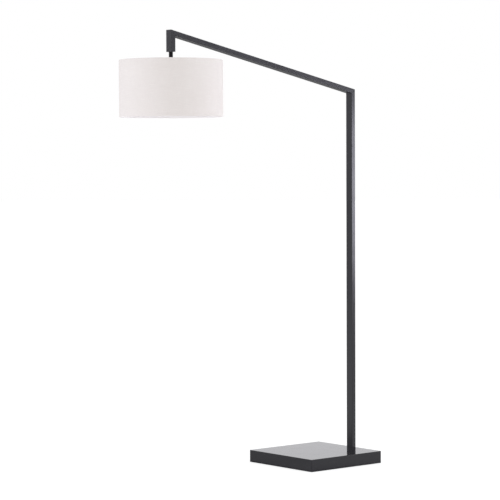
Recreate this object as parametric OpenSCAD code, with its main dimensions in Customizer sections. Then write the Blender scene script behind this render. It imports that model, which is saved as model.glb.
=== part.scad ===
// Cantilever floor lamp: a weighted square base, a mitred frame of rectangular tube and a hanging drum shade.
// The origin is the centre of the pad under the base, on the floor, and +Z is up.
// The frame lies in the XZ plane: the post stands at +X behind the base, and the arm rises towards -X.

/* [Base] */
// Side of the square base
base_side = 388; // [340:1:440]
// Height of the base's top face above the floor
base_top = 50; // [46:0.5:60]
// Radius of the base's four upright corners
base_corner_r = 4; // [3:0.5:8]

/* [Frame] */
// Thickness of the frame tube, seen from the side of the lamp
tube_deep = 20; // [18:0.5:22]
// Width of the frame tube, across the lamp
tube_wide = 35; // [34:0.5:44]
// Height at which the centre lines of post and arm meet
corner_height = 1544.5; // [1300:0.5:1700]
// Distance from the post's centre line to the drop's centre line
reach = 952; // [700:1:1100]
// Angle by which the arm rises, in degrees
arm_rise = 12.3; // [5:0.1:20]
// Length of the drop, from the corner of the centre lines to its lower end
drop_len = 73.5; // [72:0.5:120]

/* [Head] */
// Diameter of the stem's sleeve
stem_d = 16; // [12.6:0.1:18]
// Length of stem showing between the drop and the shade's upper rim
stem_gap = 31; // [15:1:60]
// Outer diameter of the drum shade
shade_d = 406; // [340:2:480]
// Height of the drum shade
shade_h = 223; // [205:1:260]

/* [Hidden] */
$fn = 96;

bronze = [0.20, 0.20, 0.21];
matt_black = [0.07, 0.07, 0.07];
steel = [0.62, 0.62, 0.64];
brass = [0.80, 0.62, 0.32];
black_plastic = [0.10, 0.10, 0.10];
white_fabric = [0.93, 0.92, 0.92];
white_powder = [0.88, 0.88, 0.87];

// Base: the cover's skirt hangs just clear of the floor, and the pad under the plate carries the lamp
sheet = 1.5;
skirt_z = 1;
pad_t = 2.5;
plate_z = pad_t + sheet;
cover_inner = base_side - 2 * sheet;
cover_edge_r = 1.5;
plate_side = cover_inner - 1;
pad_side = base_side - 12;
standoff_at = base_side / 2 - 24;
standoff_d = 10;
clearance = 2;
plate_screw_r = 2;
plate_screw_len = 11;
plate_screw_head_r = 4;
plate_screw_head_z = 0.4;
plate_screw_hex_r = 1.6;
weight_side = cover_inner - 8;
weight_top = base_top - 9.5;
weight_notch_deep = 60;
weight_notch_wide = 130;

// Post foot: bolts pass from inside the base through its rear wall into a bar inside the post
post_x = base_side / 2 + tube_deep / 2;
post_foot_z = 3;
wire_z = 26;
bolt_y = 10.5;
bolt_zs = [14, 38];
bolt_r = 3;
bolt_head_r = 5;
bolt_head_h = 6;
bolt_hex_r = 2.9;
bolt_hex_deep = 3;
bolt_reach = 12;
washer_t = 1.6;
backing_t = 8;
backing_x = base_side / 2 - sheet - backing_t;
backing_wide = 60;
backing_z = [plate_z + 1, base_top - sheet - 1];
post_plug_t = 5;
post_insert_z = post_foot_z + post_plug_t - 1;
post_insert_top = 47;
grommet_r = 4.5;
grommet_bore_r = 3;
grommet_flange_r = 6;
grommet_flange_t = 2;
gland_y = 46;
gland_r = 6;
gland_bore_r = 3.1;
gland_flange_r = 8.5;
gland_flange_t = 2.5;
gland_len = 14;
gland_nut_r = 9;
gland_nut_h = 5;
terminal_size = [22, 26, 12];
terminal_x = base_side / 2 - 46;
terminal_pitch = 12;
terminal_bore_r = 2;
terminal_screw_r = 1.9;
terminal_screw_h = 5;
slot_wide = 0.6;
slot_deep = 0.8;

// Frame
tube_wall = 1.5;
tube_r = 2;
fit_gap = 0.2;
lead_bore_r = 4;
bore_overrun = 2;
bar_deep = tube_deep - 2 * tube_wall - 2 * fit_gap;
bar_wide = tube_wide - 2 * tube_wall - 2 * fit_gap;
drop_x = post_x - reach;
drop_corner_z = corner_height + reach * tan(arm_rise);
drop_end_z = drop_corner_z - drop_len;
arm_len = reach / cos(arm_rise);
elbow_leg = 40;
elbow_screw_at = [18, 33];
grub_r = 2;
grub_len = 4.6;
grub_hex_r = 1.15;
grub_hex_deep = 2;
grub_hole_len = tube_deep / 2 - lead_bore_r + 1;
hole_gap = 0.2;
cut = 4 * tube_wide;
// Each leg of an elbow: corner x and z, direction from the corner, and the side that its screws enter
elbow_legs = [
    [post_x, corner_height, 180, -1],
    [post_x, corner_height, arm_rise - 90, 1],
    [drop_x, drop_corner_z, 90 + arm_rise, -1],
    [drop_x, drop_corner_z, 180, -1],
];

// Stem: a threaded pipe hangs from the plug in the drop, and clamps sleeve, shade hub and lamp holder
pipe_r = 5;
pipe_bore_r = 3.7;
drop_plug_h = 12;
lock_washer_t = 1;
pipe_nut_h = 4;
pipe_nut_across = 14;
pipe_above = 9;
hub_drop = 12;
hub_t = 1.6;
hub_r = 16;
turn_gap = 0.15;
pipe_gap = 0.08;
shade_top_z = drop_end_z - stem_gap;
shade_bottom_z = shade_top_z - shade_h;
hub_top_z = shade_top_z - hub_drop;
hub_washer_z = hub_top_z - hub_t - turn_gap;
hub_nut_z = hub_washer_z - lock_washer_t;
hub_nut_h = 6;
cap_top_z = hub_nut_z - hub_nut_h;

// Lamp holder, listed downwards from the top of its cap
cap_neck_r = 8;
cap_neck_h = 4;
cap_shoulder_h = 9;
cap_skirt_h = 7;
cap_r = 20;
cap_wall = 1.2;
pipe_in_cap = 7;
shell_r = 18.6;
shell_wall = 0.6;
shell_h = 46;
shell_bead = 0.9;
shell_bead_h = 2;
shell_top_z = cap_top_z - cap_neck_h - cap_shoulder_h - 1;
liner_r = shell_r - shell_wall - 0.2;
liner_wall = 0.6;
body_r = liner_r - liner_wall - 0.2;
body_h = 15;
body_top_z = shell_top_z - 2;
body_bottom_z = body_top_z - body_h;
screw_shell_r = 14;
screw_shell_wall = 0.5;
screw_shell_h = 25;
contact_r = 4;
contact_h = 3;
terminal_pocket = 5;
socket_screw_r = 2.4;
socket_screw_h = 2.2;
lead_r = 2.3;
lead_bend_r = 6;
lead_sides = 10;
bend_steps = 5;
lead_end_z = body_top_z + 6;
core_r = 1;

// Rotary switch, whose shaft leaves the side of the lamp holder towards -Y
switch_z = body_top_z - body_h / 2;
shaft_r = 2;
shaft_gap = 0.06;
shaft_inner_y = 8;
knob_r = 4.5;
knob_len = 14;
knob_start_y = shell_r + 2;

// Bulb, screwed in from below
bulb_top_z = body_bottom_z - contact_h;
bulb_cap_r = 13;
bulb_cap_h = 24;
bulb_contact_r = [6, 3.5];
bulb_contact_h = 2;
bulb_body_h = 32;
bulb_globe_r = 30;
bulb_globe_cut = 14;
bulb_globe_z = bulb_top_z - bulb_contact_h - bulb_cap_h - bulb_body_h - bulb_globe_cut;
bulb_body_r = sqrt(bulb_globe_r * bulb_globe_r - bulb_globe_cut * bulb_globe_cut);
bulb_glass = 1.2;

// Shade
skin_t = 0.8;
liner_gap = 0.1;
shade_liner_t = 0.6;
shade_liner_r = shade_d / 2 - skin_t - liner_gap;
ring_wire_r = 1.6;
ring_r = shade_liner_r - shade_liner_t - liner_gap - ring_wire_r;
ring_inset = 2.4;
spoke_r = 2;
spoke_root_r = hub_r - 4;
spoke_count = 3;
spoke_turn = 20;

// ---- Shared shapes ----

// A rectangle with round corners, centred
module rounded_rect(size_x, size_y, r) {
    square([size_x - 2 * r, size_y], center = true);
    square([size_x, size_y - 2 * r], center = true);
    for (sx = [-1, 1], sy = [-1, 1])
        translate([sx * (size_x / 2 - r), sy * (size_y / 2 - r)]) circle(r);
}

// A square block with round upright corners and rounded upper edges
module slab(side, corner_r, edge_r, z0, z1) {
    intersection() {
        translate([0, 0, z0]) linear_extrude(z1 - z0) rounded_rect(side, side, corner_r);
        for_both_ways() rotate([90, 0, 0]) linear_extrude(2 * side, center = true) {
            translate([-side / 2, z0]) square([side, z1 - z0 - edge_r]);
            translate([-side / 2 + edge_r, z0]) square([side - 2 * edge_r, z1 - z0]);
            for (sx = [-1, 1]) translate([sx * (side / 2 - edge_r), z1 - edge_r]) circle(edge_r);
        }
    }
}

// The overlap of a shape and the same shape turned a quarter about Z
module for_both_ways() {
    intersection() {
        children();
        rotate([0, 0, 90]) children();
    }
}

// A block with upright faces, between two heights
module block(size_x, size_y, z0, z1) {
    translate([-size_x / 2, -size_y / 2, z0]) cube([size_x, size_y, z1 - z0]);
}

// A tube with its axis along Z
module pipe(outer_r, inner_r, h) {
    difference() {
        cylinder(r = outer_r, h = h);
        translate([0, 0, -1]) cylinder(r = inner_r, h = h + 2);
    }
}

// A rod along X, starting at the given x
module rod_x(r, x, length) {
    translate([x, 0, 0]) rotate([0, 90, 0]) cylinder(r = r, h = length);
}

module at_standoffs() {
    for (sx = [-1, 1], sy = [-1, 1]) translate([sx * standoff_at, sy * standoff_at, 0]) children();
}

module at_post_bolts() {
    for (z = bolt_zs, sy = [-1, 1]) translate([0, sy * bolt_y, z]) children();
}

module at_wire_hole() {
    translate([0, 0, wire_z]) children();
}

module at_gland() {
    translate([0, gland_y, wire_z]) children();
}

// The screws of every elbow leg: local +Z is the way the screw goes in, from the tube's outer face
module at_elbow_screws(legs) {
    for (leg = legs, s = elbow_screw_at)
        translate([leg[0], 0, leg[1]]) rotate([0, leg[2], 0])
            translate([leg[3] * tube_deep / 2, 0, s]) rotate([0, -90 * leg[3], 0]) children();
}

// The two screws that hold the plug in the drop
module at_plug_screws() {
    for (sy = [-1, 1])
        translate([drop_x + tube_deep / 2, sy * bar_wide / 4, drop_end_z + drop_plug_h / 2])
            rotate([0, -90, 0]) children();
}

module at_stem(z) {
    translate([drop_x, 0, z]) children();
}

module at_switch() {
    translate([drop_x, 0, switch_z]) rotate([90, 0, 0]) children();
}

// ---- Base ----

module base_cover() {
    color(bronze) difference() {
        slab(base_side, base_corner_r, cover_edge_r, skirt_z, base_top);
        translate([0, 0, -1]) linear_extrude(base_top - sheet + 1)
            rounded_rect(cover_inner, cover_inner, base_corner_r - sheet);
        at_post_bolts() rod_x(bolt_r + hole_gap, base_side / 4, base_side / 2);
        at_wire_hole() rod_x(grommet_r, base_side / 4, base_side / 2);
        at_gland() rod_x(gland_r, base_side / 4, base_side / 2);
    }
}

module base_weight() {
    color([0.60, 0.59, 0.57]) difference() {
        block(weight_side, weight_side, plate_z, weight_top);
        translate([weight_side / 2, 0, 0])
            block(2 * weight_notch_deep, weight_notch_wide, 0, base_top);
        at_standoffs() cylinder(r = standoff_d / 2 + clearance, h = base_top);
    }
}

module base_standoffs() {
    color(steel) at_standoffs() difference() {
        translate([0, 0, plate_z]) cylinder(r = standoff_d / 2, h = base_top - sheet - plate_z);
        cylinder(r = plate_screw_r, h = plate_z + plate_screw_len + 1);
    }
}

module base_plate() {
    color(steel) difference() {
        block(plate_side, plate_side, pad_t, plate_z);
        at_standoffs() cylinder(r = plate_screw_r + hole_gap, h = base_top);
    }
}

module base_plate_screws() {
    color(steel) at_standoffs() {
        translate([0, 0, plate_screw_head_z]) difference() {
            cylinder(r = plate_screw_head_r, h = pad_t - plate_screw_head_z);
            translate([0, 0, -1]) cylinder(r = plate_screw_hex_r, h = 1 + pad_t / 2, $fn = 6);
        }
        translate([0, 0, pad_t]) cylinder(r = plate_screw_r, h = plate_screw_len);
    }
}

module base_pad() {
    color([0.16, 0.16, 0.17]) difference() {
        block(pad_side, pad_side, 0, pad_t);
        at_standoffs() translate([0, 0, -1]) cylinder(r = plate_screw_head_r + clearance, h = pad_t + 2);
    }
}

module terminal_block() {
    color([0.88, 0.87, 0.84]) translate([terminal_x, 0, 0]) difference() {
        block(terminal_size[0], terminal_size[1], wire_z - terminal_size[2] / 2,
            wire_z + terminal_size[2] / 2);
        for (sy = [-1, 1]) translate([0, sy * terminal_pitch / 2, wire_z]) {
            rod_x(terminal_bore_r, -terminal_size[0], terminal_size[0] - 2);
            cylinder(r = terminal_screw_r + hole_gap, h = terminal_size[2]);
        }
        at_wire_hole() rod_x(lead_r + hole_gap, 2, terminal_size[0]);
    }
}

module terminal_screws() {
    color(brass) for (sy = [-1, 1]) translate([terminal_x, sy * terminal_pitch / 2, wire_z + 0.5])
        difference() {
            cylinder(r = terminal_screw_r, h = terminal_screw_h);
            block(3 * terminal_screw_r, slot_wide, terminal_screw_h - slot_deep, terminal_screw_h + 1);
        }
}

module cord_gland() {
    color(black_plastic) at_gland() difference() {
        union() {
            rod_x(gland_r, base_side / 2 - gland_len, gland_len);
            rod_x(gland_flange_r, base_side / 2, gland_flange_t);
        }
        rod_x(gland_bore_r, base_side / 4, base_side / 2);
    }
}

module gland_nut() {
    nut_x = base_side / 2 - sheet - gland_nut_h;
    color(black_plastic) at_gland() translate([nut_x, 0, 0]) rotate([0, 90, 0])
        difference() {
            cylinder(r = gland_nut_r, h = gland_nut_h, $fn = 6);
            translate([0, 0, -1]) cylinder(r = gland_r, h = gland_nut_h + 2);
        }
}

// ---- Foot of the post ----

module post_backing() {
    color(steel) difference() {
        translate([backing_x, -backing_wide / 2, backing_z[0]])
            cube([backing_t, backing_wide, backing_z[1] - backing_z[0]]);
        at_post_bolts() rod_x(bolt_r + hole_gap, 0, base_side);
        at_wire_hole() rod_x(grommet_r, 0, base_side);
    }
}

module post_washers() {
    color(steel) at_post_bolts() difference() {
        rod_x(bolt_head_r + 0.8, backing_x - washer_t, washer_t);
        rod_x(bolt_r + hole_gap, 0, base_side);
    }
}

module post_bolts() {
    head_x = backing_x - washer_t - bolt_head_h;
    color(steel) at_post_bolts() difference() {
        union() {
            rod_x(bolt_head_r, head_x, bolt_head_h);
            rod_x(bolt_r, backing_x - washer_t, backing_t + washer_t + sheet + bolt_reach);
        }
        translate([head_x - 1, 0, 0]) rotate([0, 90, 0])
            cylinder(r = bolt_hex_r, h = bolt_hex_deep + 1, $fn = 6);
    }
}

module post_insert() {
    color(steel) difference() {
        translate([post_x, 0, 0]) block(bar_deep, bar_wide, post_insert_z, post_insert_top);
        at_post_bolts() rod_x(bolt_r, 0, base_side / 2 + bolt_reach + 0.5);
        at_wire_hole() rod_x(lead_bore_r, 0, post_x + bore_overrun);
        translate([post_x, 0, wire_z - bore_overrun]) cylinder(r = lead_bore_r, h = base_top);
    }
}

module post_plug() {
    color(black_plastic) translate([post_x, 0, 0]) {
        block(tube_deep - 1, tube_wide - 1, post_foot_z - 1, post_foot_z);
        block(bar_deep, bar_wide, post_foot_z, post_foot_z + post_plug_t - 1);
    }
}

module wire_grommet() {
    color(black_plastic) at_wire_hole() difference() {
        union() {
            rod_x(grommet_flange_r, backing_x - grommet_flange_t, grommet_flange_t);
            rod_x(grommet_r, backing_x, backing_t + sheet + tube_wall);
        }
        rod_x(grommet_bore_r, 0, base_side);
    }
}

// ---- Frame ----

module tube_run(length) {
    linear_extrude(length) difference() {
        rounded_rect(tube_deep, tube_wide, tube_r);
        rounded_rect(tube_deep - 2 * tube_wall, tube_wide - 2 * tube_wall, tube_r - tube_wall);
    }
}

// Everything on one side of a mitre plane: side is 1 for the part above it and -1 for the part below
module beyond_mitre(x, z, tilt, side) {
    translate([x, 0, z]) rotate([0, tilt, 0]) translate([0, 0, side * cut / 2])
        cube(cut, center = true);
}

module post() {
    color(bronze) difference() {
        translate([post_x, 0, post_foot_z]) tube_run(corner_height - post_foot_z + tube_deep);
        beyond_mitre(post_x, corner_height, (arm_rise - 90) / 2, 1);
        at_post_bolts() rod_x(bolt_r + hole_gap, base_side / 4, base_side / 4 + tube_deep / 2);
        at_wire_hole() rod_x(grommet_r, base_side / 4, base_side / 4 + tube_deep / 2);
        at_elbow_screws([elbow_legs[0]]) grub_hole();
    }
}

module arm() {
    color(bronze) difference() {
        translate([post_x, 0, corner_height]) rotate([0, arm_rise - 90, 0])
            translate([0, 0, -tube_deep]) tube_run(arm_len + 2 * tube_deep);
        beyond_mitre(post_x, corner_height, (arm_rise - 90) / 2, -1);
        beyond_mitre(drop_x, drop_corner_z, (arm_rise + 90) / 2, -1);
        at_elbow_screws([elbow_legs[1], elbow_legs[2]]) grub_hole();
    }
}

module drop() {
    color(bronze) difference() {
        translate([drop_x, 0, drop_end_z]) tube_run(drop_len + tube_deep);
        beyond_mitre(drop_x, drop_corner_z, (arm_rise + 90) / 2, 1);
        at_elbow_screws([elbow_legs[3]]) grub_hole();
        at_plug_screws() grub_hole();
    }
}

// A hole through the tube's wall for a grub screw, which goes in along +Z
module grub_hole() {
    translate([0, 0, -1]) cylinder(r = grub_r + hole_gap, h = tube_wall + 1.5);
}

module grub_screw() {
    difference() {
        cylinder(r = grub_r, h = grub_len);
        translate([0, 0, -1]) cylinder(r = grub_hex_r, h = grub_hex_deep + 1, $fn = 6);
    }
}

// A unit vector in the XZ plane, from its angle away from +Z towards +X
function heading(angle) = [sin(angle), cos(angle)];

// A corner connector with a leg along each of two tubes, bored for the lead
module elbow(corner, angle_a, angle_b) {
    a = heading(angle_a);
    b = heading(angle_b);
    half = bar_deep / 2;
    inner = (a + b) / norm(a + b) * half / sin(acos(a * b) / 2);
    side_a = [a[1], -a[0]] * half * sign([a[1], -a[0]] * inner);
    side_b = [b[1], -b[0]] * half * sign([b[1], -b[0]] * inner);
    translate([corner[0], 0, corner[1]]) difference() {
        rotate([90, 0, 0]) linear_extrude(bar_wide, center = true) polygon([
            inner, elbow_leg * a + side_a, elbow_leg * a - side_a,
            -inner, elbow_leg * b - side_b, elbow_leg * b + side_b,
        ]);
        for (angle = [angle_a, angle_b]) rotate([0, angle, 0])
            translate([0, 0, -bore_overrun]) cylinder(r = lead_bore_r, h = elbow_leg + 2 * bore_overrun);
    }
}

module post_elbow() {
    color(steel) difference() {
        elbow([post_x, corner_height], elbow_legs[0][2], elbow_legs[1][2]);
        at_elbow_screws([elbow_legs[0], elbow_legs[1]]) cylinder(r = grub_r, h = grub_hole_len);
    }
}

module drop_elbow() {
    color(steel) difference() {
        elbow([drop_x, drop_corner_z], elbow_legs[2][2], elbow_legs[3][2]);
        at_elbow_screws([elbow_legs[2], elbow_legs[3]]) cylinder(r = grub_r, h = grub_hole_len);
    }
}

module elbow_screws() {
    color(steel) at_elbow_screws(elbow_legs) grub_screw();
}

// ---- Stem ----

module drop_plug() {
    color(bronze) difference() {
        at_stem(0) block(bar_deep, bar_wide, drop_end_z, drop_end_z + drop_plug_h);
        at_stem(drop_end_z - 1) cylinder(r = pipe_r, h = drop_plug_h + 2);
        at_plug_screws() cylinder(r = grub_r, h = grub_len);
    }
}

module drop_plug_screws() {
    color(steel) at_plug_screws() cylinder(r = grub_r, h = grub_len - 0.2);
}

module pipe_lock_washer() {
    color(steel) at_stem(drop_end_z + drop_plug_h)
        pipe(pipe_nut_across / 2, pipe_r + hole_gap, lock_washer_t);
}

module pipe_nut() {
    color(steel) at_stem(drop_end_z + drop_plug_h + lock_washer_t) difference() {
        rotate([0, 0, 30]) cylinder(r = pipe_nut_across / 2 / cos(30), h = pipe_nut_h, $fn = 6);
        translate([0, 0, -1]) cylinder(r = pipe_r, h = pipe_nut_h + 2);
    }
}

module threaded_pipe() {
    low_z = cap_top_z - pipe_in_cap;
    color(steel) at_stem(low_z)
        pipe(pipe_r, pipe_bore_r, drop_end_z + drop_plug_h + pipe_above - low_z);
}

module stem_sleeve() {
    low_z = hub_top_z + turn_gap;
    color(matt_black) at_stem(low_z) pipe(stem_d / 2, pipe_r + hole_gap, drop_end_z - low_z);
}

module hub_washer() {
    color(steel) at_stem(hub_nut_z) pipe(hub_r - 4, pipe_r + hole_gap, lock_washer_t);
}

module hub_nut() {
    color(steel) at_stem(cap_top_z) pipe(hub_r - 6, pipe_r, hub_nut_h);
}

// ---- Lamp holder ----

module socket_cap() {
    shoulder_z = -cap_neck_h - cap_shoulder_h;
    neck_end_z = -cap_neck_h - cap_wall - 4;
    color(black_plastic) at_stem(cap_top_z) rotate_extrude() polygon([
        [pipe_r, 0], [cap_neck_r, 0], [cap_neck_r, -cap_neck_h], [cap_r, shoulder_z],
        [cap_r, shoulder_z - cap_skirt_h], [cap_r - cap_wall, shoulder_z - cap_skirt_h],
        [cap_r - cap_wall, shoulder_z], [cap_neck_r, neck_end_z], [pipe_r, neck_end_z],
    ]);
}

// Hole through the lamp holder's wall for the switch's shaft
module shaft_hole(r) {
    at_switch() cylinder(r = r, h = 2 * shell_r);
}

module socket_shell() {
    color(black_plastic) difference() {
        at_stem(shell_top_z - shell_h) union() {
            pipe(shell_r, shell_r - shell_wall, shell_h);
            pipe(shell_r + shell_bead, shell_r - shell_wall, shell_bead_h);
        }
        shaft_hole(shaft_r + 1);
    }
}

module socket_liner() {
    color([0.75, 0.66, 0.50]) difference() {
        at_stem(shell_top_z - shell_h + 3) pipe(liner_r, liner_r - liner_wall, shell_h - 4);
        shaft_hole(shaft_r + 1);
    }
}

module socket_body() {
    color(black_plastic) difference() {
        at_stem(body_bottom_z) cylinder(r = body_r, h = body_h);
        shaft_hole(shaft_r + shaft_gap);
        for (sx = [-1, 1]) at_stem(body_top_z) translate([sx * body_r, 0, 0])
            cube([2 * terminal_pocket, 8, 12], center = true);
    }
}

module socket_screw_shell() {
    color(brass) at_stem(body_bottom_z - screw_shell_h) difference() {
        cylinder(r = screw_shell_r, h = screw_shell_h);
        translate([0, 0, -1]) cylinder(r = screw_shell_r - screw_shell_wall, h = screw_shell_h + 1 - 0.5);
        cylinder(r = contact_r + 2, h = screw_shell_h + 1);
    }
}

module socket_contact() {
    color(brass) at_stem(body_bottom_z - contact_h) cylinder(r = contact_r, h = contact_h);
}

// Two terminal screws lie in the pockets of the body, on either side of the lead
module socket_terminals() {
    color(brass) for (sx = [-1, 1])
        at_stem(body_top_z - 3) translate([sx * (body_r - terminal_pocket), 0, 0])
            rotate([0, sx * 90, 0]) cylinder(r = socket_screw_r, h = socket_screw_h);
}

// ---- Lead inside the frame ----

// The centre line of a bend in the XZ plane, between two headings that meet at a corner
function bend(corner, angle_in, angle_out) =
    let (
        turn = abs(angle_out - angle_in),
        side = sign(angle_out - angle_in),
        start = corner - lead_bend_r * tan(turn / 2) * heading(angle_in),
        centre = start + lead_bend_r * heading(angle_in + 90 * side)
    )
    [for (i = [0:bend_steps])
        centre + lead_bend_r * heading(angle_in - 90 * side + side * turn * i / bend_steps)];

// The lead's heading at one point of its route
function route_heading(route, i) =
    let (
        last = len(route) - 1,
        before = route[max(i - 1, 0)],
        here = route[i],
        after = route[min(i + 1, last)],
        into = i == 0 ? after - here : here - before,
        out = i == last ? here - before : after - here,
        along = into / norm(into) + out / norm(out)
    )
    along / norm(along);

// A round tube swept along a route in the XZ plane
module swept_lead(route) {
    rings = [for (i = [0:len(route) - 1])
        let (along = route_heading(route, i))
        for (j = [0:lead_sides - 1])
            let (turn = 360 * j / lead_sides)
            [
                route[i][0] + lead_r * cos(turn) * along[1],
                lead_r * sin(turn),
                route[i][1] - lead_r * cos(turn) * along[0],
            ]];
    sides = [for (i = [0:len(route) - 2], j = [0:lead_sides - 1])
        let (k = (j + 1) % lead_sides)
        [
            i * lead_sides + j, (i + 1) * lead_sides + j,
            (i + 1) * lead_sides + k, i * lead_sides + k,
        ]];
    first = [for (j = [0:lead_sides - 1]) j];
    final = [for (j = [lead_sides - 1:-1:0]) (len(route) - 1) * lead_sides + j];
    polyhedron(points = rings, faces = concat(sides, [first, final]));
}

module inner_lead() {
    arm_heading = arm_rise - 90;
    color([0.85, 0.84, 0.82]) swept_lead(concat(
        [[terminal_x + terminal_size[0] / 2 - 6, wire_z]],
        bend([post_x, wire_z], 90, 0),
        bend([post_x, corner_height], 0, arm_heading),
        bend([drop_x, drop_corner_z], arm_heading, -180),
        [[drop_x, lead_end_z]]
    ));
}

// The lead's two cores run from its end to the terminals of the lamp holder
module lead_cores() {
    start = [1.3, lead_end_z - 1.2];
    end = [body_r - terminal_pocket + 1.2, body_top_z + 0.8];
    lean = atan2(end[0] - start[0], start[1] - end[1]);
    color([0.30, 0.25, 0.22]) for (turn = [0, 180]) at_stem(0) rotate([0, 0, turn])
        translate([start[0], 0, start[1]]) rotate([0, 180 - lean, 0])
            cylinder(r = core_r, h = norm(end - start));
}

// ---- Bulb ----

module bulb_contact() {
    color(brass) at_stem(bulb_top_z - bulb_contact_h)
        cylinder(r1 = bulb_contact_r[0], r2 = bulb_contact_r[1], h = bulb_contact_h);
}

module bulb_cap() {
    color(steel) at_stem(bulb_top_z - bulb_contact_h - bulb_cap_h) cylinder(r = bulb_cap_r, h = bulb_cap_h);
}

module bulb_body() {
    color([0.92, 0.92, 0.92]) at_stem(bulb_top_z - bulb_contact_h - bulb_cap_h - bulb_body_h)
        cylinder(r1 = bulb_body_r, r2 = bulb_cap_r + 0.5, h = bulb_body_h);
}

module bulb_dome() {
    color([0.97, 0.97, 0.96]) at_stem(bulb_globe_z) difference() {
        sphere(bulb_globe_r);
        sphere(bulb_globe_r - bulb_glass);
        translate([0, 0, bulb_globe_cut]) cylinder(r = bulb_globe_r, h = bulb_globe_r);
    }
}

// ---- Shade, which turns on the threaded pipe ----

module wire_ring(z) {
    translate([0, 0, z]) rotate_extrude() translate([ring_r, 0]) circle(ring_wire_r);
}

module shade_fitter() {
    top_ring_z = shade_top_z - ring_inset;
    spoke_z = hub_top_z - hub_t / 2;
    rise = atan2(top_ring_z - spoke_z, ring_r - spoke_root_r);
    spoke_len = (ring_r - spoke_root_r) / cos(rise);
    color(white_powder) at_stem(0) difference() {
        union() {
            wire_ring(top_ring_z);
            translate([0, 0, hub_top_z - hub_t]) cylinder(r = hub_r, h = hub_t);
            for (i = [0:spoke_count - 1]) rotate([0, 0, spoke_turn + i * 360 / spoke_count])
                translate([spoke_root_r, 0, spoke_z]) rotate([0, 90 - rise, 0])
                    cylinder(r = spoke_r, h = spoke_len);
        }
        translate([0, 0, hub_top_z - 10]) cylinder(r = pipe_r + pipe_gap, h = 20);
        translate([0, 0, hub_top_z]) cylinder(r = hub_r - 2, h = 10);
        translate([0, 0, hub_top_z - hub_t - 10]) cylinder(r = hub_r - 2, h = 10);
    }
}

module shade_bottom_ring() {
    color(white_powder) at_stem(0) wire_ring(shade_bottom_z + ring_inset);
}

module shade_skin() {
    color(white_fabric) at_stem(shade_bottom_z) pipe(shade_d / 2, shade_d / 2 - skin_t, shade_h);
}

module shade_liner() {
    color([0.97, 0.97, 0.95]) at_stem(shade_bottom_z + 1)
        pipe(shade_liner_r, shade_liner_r - shade_liner_t, shade_h - 2);
}

// ---- Switch ----

module switch_shaft() {
    color(brass) at_switch() translate([0, 0, shaft_inner_y])
        cylinder(r = shaft_r, h = knob_start_y + knob_len - 4 - shaft_inner_y);
}

module switch_knob() {
    color(black_plastic) at_switch() translate([0, 0, knob_start_y]) difference() {
        cylinder(r = knob_r, h = knob_len);
        translate([0, 0, -1]) cylinder(r = shaft_r, h = knob_len - 3);
    }
}

base_cover();
base_weight();
base_standoffs();
base_plate();
base_plate_screws();
base_pad();
post_backing();
post_bolts();
post_washers();
post_insert();
post_plug();
wire_grommet();
cord_gland();
gland_nut();
terminal_block();
terminal_screws();
post();
arm();
drop();
post_elbow();
drop_elbow();
elbow_screws();
drop_plug();
drop_plug_screws();
pipe_nut();
pipe_lock_washer();
threaded_pipe();
stem_sleeve();
hub_washer();
hub_nut();
socket_cap();
socket_shell();
socket_liner();
socket_body();
socket_screw_shell();
socket_contact();
socket_terminals();
inner_lead();
lead_cores();
bulb_cap();
bulb_contact();
bulb_body();
bulb_dome();
shade_fitter();
shade_bottom_ring();
shade_skin();
shade_liner();
switch_shaft();
switch_knob();
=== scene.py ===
"""A cantilever floor lamp with a drum shade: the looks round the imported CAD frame, in metres.

The post stands at +X behind the square base, the arm rises towards -X, and the shade hangs on a pipe.
"""

import math

import bmesh
import bpy
from mathutils import Euler, Matrix, Vector


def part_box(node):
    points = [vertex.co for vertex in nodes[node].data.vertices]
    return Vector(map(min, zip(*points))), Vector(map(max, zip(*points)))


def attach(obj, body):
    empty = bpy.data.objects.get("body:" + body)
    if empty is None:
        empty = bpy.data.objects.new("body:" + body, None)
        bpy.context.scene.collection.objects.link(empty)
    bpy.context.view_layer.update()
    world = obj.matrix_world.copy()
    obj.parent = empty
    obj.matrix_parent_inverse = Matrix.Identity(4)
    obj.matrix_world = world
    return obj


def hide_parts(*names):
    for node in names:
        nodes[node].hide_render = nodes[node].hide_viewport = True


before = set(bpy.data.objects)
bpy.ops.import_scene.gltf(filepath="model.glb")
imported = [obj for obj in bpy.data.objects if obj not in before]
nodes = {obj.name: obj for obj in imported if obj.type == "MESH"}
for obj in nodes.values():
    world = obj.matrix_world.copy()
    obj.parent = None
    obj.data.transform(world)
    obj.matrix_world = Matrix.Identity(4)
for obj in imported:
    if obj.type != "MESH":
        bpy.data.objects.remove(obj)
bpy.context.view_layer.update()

MM = 0.001
FULL_TURN = 2 * math.pi

# ---- Places taken from the frame ----

sleeve_low, sleeve_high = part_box("stem_sleeve")
stem_x = (sleeve_low.x + sleeve_high.x) / 2
shade_low, shade_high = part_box("shade_skin")
shade_r = (shade_high.x - shade_low.x) / 2
base_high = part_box("base_cover")[1]


def span(node):
    """The lowest and highest z of a CAD node."""
    low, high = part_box(node)
    return low.z, high.z


def half_width(node):
    """Half of a CAD node's width along X."""
    low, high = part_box(node)
    return (high.x - low.x) / 2


# ---- Camera, floor and light ----

CAMERA_PLACE = (-5.6007, -6.2513, 1.2422)
CAMERA_HEADING = math.radians(40.028)
CAMERA_PITCH = math.radians(-2.434)
CAMERA_ROLL = math.radians(-0.236)
CAMERA_LENS = 145.90
SOFTBOX_DISTANCE = 2.6
WHITE = (1, 1, 1, 1)
HORIZON = (1.13, 1.125, 1.165, 1)
HORIZON_FADE = (0.05, 0.5)
FLOOR_R = 60
AWAY_FROM_CAMERA = (0.60, 0.80, 0)
FAR_FLOOR = (1.8, 4.0)
SHADE_SHADOW = (-0.42, 0.28, 0)
SHADE_SHADOW_R = (0.20, 0.75)
FLOOR_GLOW = 0.74


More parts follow.
